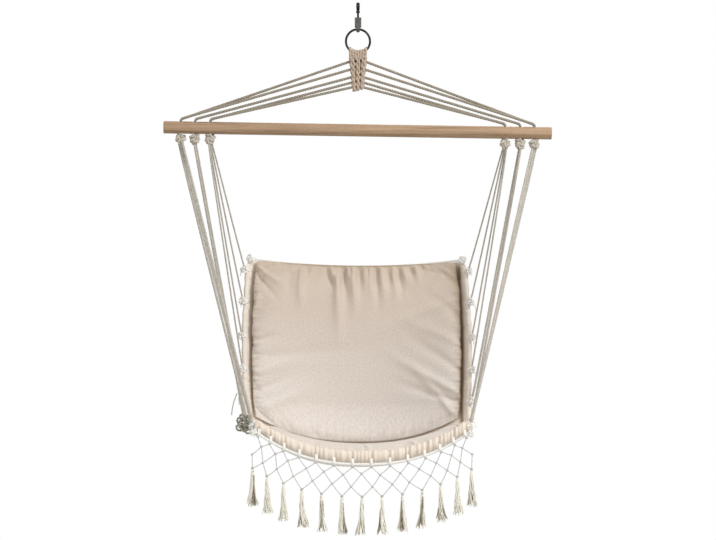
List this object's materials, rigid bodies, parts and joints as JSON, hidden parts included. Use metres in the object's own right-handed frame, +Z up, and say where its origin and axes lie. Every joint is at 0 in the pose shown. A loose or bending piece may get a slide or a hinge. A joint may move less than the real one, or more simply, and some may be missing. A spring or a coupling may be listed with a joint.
{
  "type": "hammock chair",
  "caption": "Hanging hammock chair: swivel and ring, knotted cord head, wooden spreader bar, corded sling seat with padded back and seat, and a knotted net fringe with tassels.",
  "frame": {"origin": "where the user's hook bears inside the top of the upper swivel eye, with the chair hanging at rest", "axes": "+Z up along the swivel's stem; the sitter faces -Y; +X to the right when looking along +Y at the front of the seat"},
  "size_m": [1.0004, 0.5656, 1.329],
  "materials": {
    "dark_steel": "gloss",
    "grey_steel": "satin",
    "tan_cord": "matte",
    "upper_cord": "matte",
    "cream_cord": "matte",
    "wood": "satin",
    "canvas": "matte",
    "pad_cloth": "matte",
    "net_cord": "matte",
    "tassel_yarn": "matte"
  },
  "bodies": {
    "hanger": {"swivel_eye": "dark_steel", "swivel_washer": "dark_steel", "swivel_nut": "dark_steel"},
    "swivel": {"swivel_body": "grey_steel"},
    "ring": {"hanging_ring": "dark_steel"},
    "bar_frame": {"head_braid": "tan_cord", "spreader_bar": "wood", "upper_cord_left_1": "upper_cord", "upper_cord_left_2": "upper_cord", "upper_cord_left_3": "upper_cord", "upper_cord_left_4": "upper_cord", "upper_cord_left_5": "upper_cord", "upper_cord_right_1": "upper_cord", "upper_cord_right_2": "upper_cord", "upper_cord_right_3": "upper_cord", "upper_cord_right_4": "upper_cord", "upper_cord_right_5": "upper_cord", "stopper_knot_left_1": "cream_cord", "stopper_knot_left_2": "cream_cord", "stopper_knot_left_3": "cream_cord", "stopper_knot_right_1": "cream_cord", "stopper_knot_right_2": "cream_cord", "stopper_knot_right_3": "cream_cord"},
    "seat": {"seat_canvas": "canvas", "back_pad": "pad_cloth", "seat_pad": "pad_cloth", "hem_rope": "cream_cord", "front_rope": "cream_cord", "fringe_net": "net_cord", "side_cord_left_1": "cream_cord", "side_cord_left_2": "cream_cord", "side_cord_left_3": "cream_cord", "side_cord_left_4": "cream_cord", "side_cord_left_5": "cream_cord", "side_cord_left_6": "cream_cord", "side_cord_left_7": "cream_cord", "side_cord_left_8": "cream_cord", "side_cord_left_9": "cream_cord", "side_cord_right_1": "cream_cord", "side_cord_right_2": "cream_cord", "side_cord_right_3": "cream_cord", "side_cord_right_4": "cream_cord", "side_cord_right_5": "cream_cord", "side_cord_right_6": "cream_cord", "side_cord_right_7": "cream_cord", "side_cord_right_8": "cream_cord", "side_cord_right_9": "cream_cord"},
    "tassel_body_1": {"tassel_1": "tassel_yarn"},
    "tassel_body_2": {"tassel_2": "tassel_yarn"},
    "tassel_body_3": {"tassel_3": "tassel_yarn"},
    "tassel_body_4": {"tassel_4": "tassel_yarn"},
    "tassel_body_5": {"tassel_5": "tassel_yarn"},
    "tassel_body_6": {"tassel_6": "tassel_yarn"},
    "tassel_body_7": {"tassel_7": "tassel_yarn"},
    "tassel_body_8": {"tassel_8": "tassel_yarn"},
    "tassel_body_9": {"tassel_9": "tassel_yarn"},
    "tassel_body_10": {"tassel_10": "tassel_yarn"},
    "tassel_body_11": {"tassel_11": "tassel_yarn"},
    "tassel_body_12": {"tassel_12": "tassel_yarn"},
    "tassel_body_13": {"tassel_13": "tassel_yarn"}
  },
  "joints": [
    {"name": "swivel_spin", "type": "hinge", "parent": "hanger", "child": "swivel", "pos_m": [0, 0, -0.037], "axis": [0, 0, 1], "continuous": true},
    {"name": "ring_swing", "type": "hinge", "parent": "swivel", "child": "ring", "pos_m": [0, 0, -0.0637], "axis": [1, 0, 0], "range_deg": [-45, 45]},
    {"name": "side_tilt", "type": "hinge", "parent": "ring", "child": "bar_frame", "pos_m": [0, 0, -0.0947], "axis": [0, 1, 0], "range_deg": [-20, 20]},
    {"name": "seat_swing", "type": "hinge", "parent": "bar_frame", "child": "seat", "pos_m": [-0.00039, 0, -0.35197], "axis": [0.9999, 0, -0.014], "range_deg": [-20, 20]},
    {"name": "tassel_1_swing", "type": "hinge", "parent": "seat", "child": "tassel_body_1", "pos_m": [-0.2637, -0.37367, -1.15962], "axis": [1, 0, 0], "range_deg": [-30, 30]},
    {"name": "tassel_2_swing", "type": "hinge", "parent": "seat", "child": "tassel_body_2", "pos_m": [-0.22923, -0.37408, -1.17856], "axis": [1, 0, 0], "range_deg": [-30, 30]},
    {"name": "tassel_3_swing", "type": "hinge", "parent": "seat", "child": "tassel_body_3", "pos_m": [-0.18949, -0.37445, -1.1962], "axis": [1, 0, 0], "range_deg": [-30, 30]},
    {"name": "tassel_4_swing", "type": "hinge", "parent": "seat", "child": "tassel_body_4", "pos_m": [-0.14548, -0.37476, -1.21089], "axis": [1, 0, 0], "range_deg": [-30, 30]},
    {"name": "tassel_5_swing", "type": "hinge", "parent": "seat", "child": "tassel_body_5", "pos_m": [-0.09826, -0.37498, -1.22141], "axis": [1, 0, 0], "range_deg": [-30, 30]},
    {"name": "tassel_6_swing", "type": "hinge", "parent": "seat", "child": "tassel_body_6", "pos_m": [-0.04907, -0.3751, -1.22726], "axis": [1, 0, 0], "range_deg": [-30, 30]},
    {"name": "tassel_7_swing", "type": "hinge", "parent": "seat", "child": "tassel_body_7", "pos_m": [-0.00086, -0.37514, -1.22897], "axis": [1, 0, 0], "range_deg": [-30, 30]},
    {"name": "tassel_8_swing", "type": "hinge", "parent": "seat", "child": "tassel_body_8", "pos_m": [0.04743, -0.37511, -1.22798], "axis": [1, 0, 0], "range_deg": [-30, 30]},
    {"name": "tassel_9_swing", "type": "hinge", "parent": "seat", "child": "tassel_body_9", "pos_m": [0.09639, -0.37499, -1.22291], "axis": [1, 0, 0], "range_deg": [-30, 30]},
    {"name": "tassel_10_swing", "type": "hinge", "parent": "seat", "child": "tassel_body_10", "pos_m": [0.1441, -0.37477, -1.21303], "axis": [1, 0, 0], "range_deg": [-30, 30]},
    {"name": "tassel_11_swing", "type": "hinge", "parent": "seat", "child": "tassel_body_11", "pos_m": [0.18833, -0.37445, -1.19894], "axis": [1, 0, 0], "range_deg": [-30, 30]},
    {"name": "tassel_12_swing", "type": "hinge", "parent": "seat", "child": "tassel_body_12", "pos_m": [0.22831, -0.37408, -1.18177], "axis": [1, 0, 0], "range_deg": [-30, 30]},
    {"name": "tassel_13_swing", "type": "hinge", "parent": "seat", "child": "tassel_body_13", "pos_m": [0.26301, -0.37367, -1.16319], "axis": [1, 0, 0], "range_deg": [-30, 30]}
  ]
}
